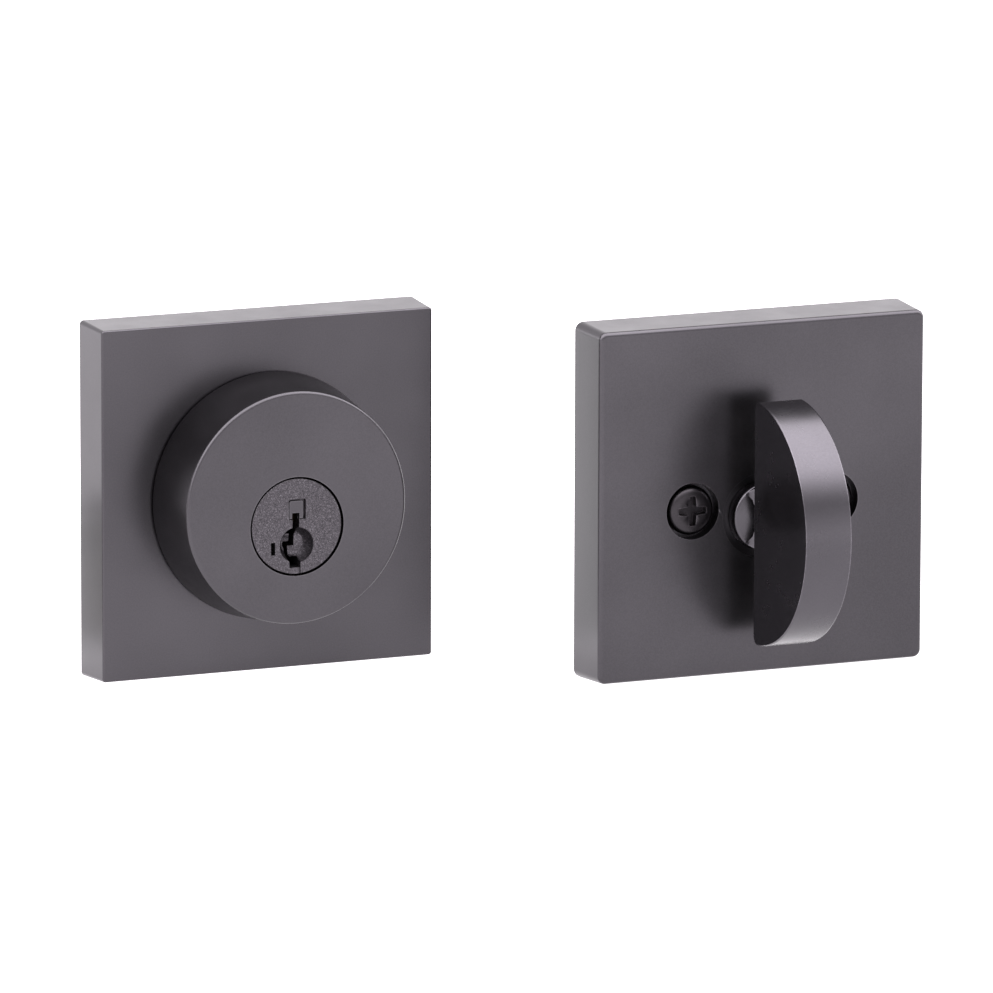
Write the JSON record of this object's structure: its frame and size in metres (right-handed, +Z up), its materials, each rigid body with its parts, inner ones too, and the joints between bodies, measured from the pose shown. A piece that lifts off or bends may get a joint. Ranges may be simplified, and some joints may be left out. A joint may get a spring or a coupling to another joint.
{
  "type": "deadbolt door lock",
  "caption": "Keyed deadbolt with square roses, a round cylinder guard, a half-round thumbturn and a tubular drive-in latch with a coupled bolt.",
  "frame": {"origin": "on the lock axis, in the plane of the door's outside face, where the outside trim's back rests", "axes": "+Y along the lock axis, from outside into the door; +Z up; the bolt is thrown towards -X"},
  "size_m": [0.2424, 0.111, 0.067],
  "materials": {
    "satin_graphite": "satin graphite, iron-black with a slight violet tint",
    "sintered_zinc": "grainy, unpolished",
    "plated_steel": "zinc plated",
    "brass": "machined",
    "spring_steel": "bright drawn wire and strip",
    "black_screw": "black oxide",
    "nylon": "natural nylon"
  },
  "bodies": {
    "exterior": {"exterior_rose": "satin_graphite", "cylinder_housing": "satin_graphite", "cylinder_body": "sintered_zinc", "driver_cap": "sintered_zinc"},
    "key_plug": {"plug": "sintered_zinc", "keyway_cap": "sintered_zinc", "plug_clip": "spring_steel", "sidebar_spring_1": "spring_steel", "sidebar_spring_2": "spring_steel", "pin_spring_1": "spring_steel", "pin_spring_2": "spring_steel", "pin_spring_3": "spring_steel", "pin_spring_4": "spring_steel", "pin_spring_5": "spring_steel"},
    "key_pin_1": {"key_pin_1": "brass"},
    "key_pin_2": {"key_pin_2": "brass"},
    "key_pin_3": {"key_pin_3": "brass"},
    "key_pin_4": {"key_pin_4": "brass"},
    "key_pin_5": {"key_pin_5": "brass"},
    "wafer_1": {"wafer_1": "brass"},
    "wafer_2": {"wafer_2": "brass"},
    "wafer_3": {"wafer_3": "brass"},
    "wafer_4": {"wafer_4": "brass"},
    "wafer_5": {"wafer_5": "brass"},
    "sidebar": {"sidebar": "brass"},
    "driver": {"tail_driver": "plated_steel"},
    "interior": {"interior_rose": "satin_graphite", "backing_plate": "plated_steel", "through_screw_1": "black_screw", "through_screw_2": "black_screw", "turn_washer": "nylon"},
    "turn": {"thumbturn": "satin_graphite", "turn_clip": "spring_steel", "torque_blade": "plated_steel"},
    "latch": {"latch_case_near": "plated_steel", "latch_case_far": "plated_steel", "latch_tube": "plated_steel", "latch_collar": "satin_graphite", "detent_spring": "spring_steel", "case_rivet_1": "plated_steel", "case_rivet_2": "plated_steel", "case_rivet_3": "plated_steel"},
    "crank": {"crank": "sintered_zinc"},
    "bolt": {"bolt": "brass", "bolt_core": "plated_steel", "bolt_tail": "plated_steel", "tail_pin": "plated_steel"}
  },
  "joints": [
    {"name": "interior_swing", "type": "hinge", "parent": "exterior", "child": "interior", "pos_m": [0.0418, 0.00378, 0], "axis": [0, 0, 1], "range_deg": [0, 180]},
    {"name": "latch_insert", "type": "slide", "parent": "exterior", "child": "latch", "axis": [0.9654, 0, 0.2607], "range_m": [0, 0.06733]},
    {"name": "thumbturn_turn", "type": "hinge", "parent": "interior", "child": "turn", "pos_m": [0.0836, -0.0369, 0], "axis": [0, 1, 0], "range_deg": [0, 90]},
    {"name": "crank_turn", "type": "hinge", "parent": "latch", "child": "crank", "pos_m": [-0.065, 0.02223, -0.01755], "axis": [0, -1, 0], "range_deg": [0, 90]},
    {"name": "bolt_throw", "type": "slide", "parent": "latch", "child": "bolt", "axis": [-1, 0, 0], "range_m": [0, 0.0254]},
    {"name": "driver_turn", "type": "hinge", "parent": "exterior", "child": "driver", "pos_m": [0, 0.01, 0], "axis": [0, -1, 0], "range_deg": [0, 90]},
    {"name": "key_turn", "type": "hinge", "parent": "exterior", "child": "key_plug", "pos_m": [0, -0.01, 0], "axis": [0, -1, 0], "range_deg": [-90, 90]},
    {"name": "sidebar_retract", "type": "slide", "parent": "key_plug", "child": "sidebar", "axis": [1, 0, 0], "range_m": [0, 0.0006]},
    {"name": "pin_1_lift", "type": "slide", "parent": "key_plug", "child": "key_pin_1", "axis": [0, 0, 1], "range_m": [0, 0.0015]},
    {"name": "wafer_1_lift", "type": "slide", "parent": "key_plug", "child": "wafer_1", "axis": [0, 0, 1], "range_m": [0, 0.0015]},
    {"name": "pin_2_lift", "type": "slide", "parent": "key_plug", "child": "key_pin_2", "axis": [0, 0, 1], "range_m": [0, 0.0015]},
    {"name": "wafer_2_lift", "type": "slide", "parent": "key_plug", "child": "wafer_2", "axis": [0, 0, 1], "range_m": [0, 0.0015]},
    {"name": "pin_3_lift", "type": "slide", "parent": "key_plug", "child": "key_pin_3", "axis": [0, 0, 1], "range_m": [0, 0.0015]},
    {"name": "wafer_3_lift", "type": "slide", "parent": "key_plug", "child": "wafer_3", "axis": [0, 0, 1], "range_m": [0, 0.0015]},
    {"name": "pin_4_lift", "type": "slide", "parent": "key_plug", "child": "key_pin_4", "axis": [0, 0, 1], "range_m": [0, 0.0015]},
    {"name": "wafer_4_lift", "type": "slide", "parent": "key_plug", "child": "wafer_4", "axis": [0, 0, 1], "range_m": [0, 0.0015]},
    {"name": "pin_5_lift", "type": "slide", "parent": "key_plug", "child": "key_pin_5", "axis": [0, 0, 1], "range_m": [0, 0.0015]},
    {"name": "wafer_5_lift", "type": "slide", "parent": "key_plug", "child": "wafer_5", "axis": [0, 0, 1], "range_m": [0, 0.0015]}
  ],
  "couplings": [
    {"joint": "crank_turn", "follows": "thumbturn_turn", "ratio": 1},
    {"joint": "bolt_throw", "follows": "thumbturn_turn", "m_per_rad": 0.01617},
    {"joint": "driver_turn", "follows": "thumbturn_turn", "ratio": 1},
    {"joint": "wafer_1_lift", "follows": "pin_1_lift", "ratio": 1},
    {"joint": "wafer_2_lift", "follows": "pin_2_lift", "ratio": 1},
    {"joint": "wafer_3_lift", "follows": "pin_3_lift", "ratio": 1},
    {"joint": "wafer_4_lift", "follows": "pin_4_lift", "ratio": 1},
    {"joint": "wafer_5_lift", "follows": "pin_5_lift", "ratio": 1}
  ]
}
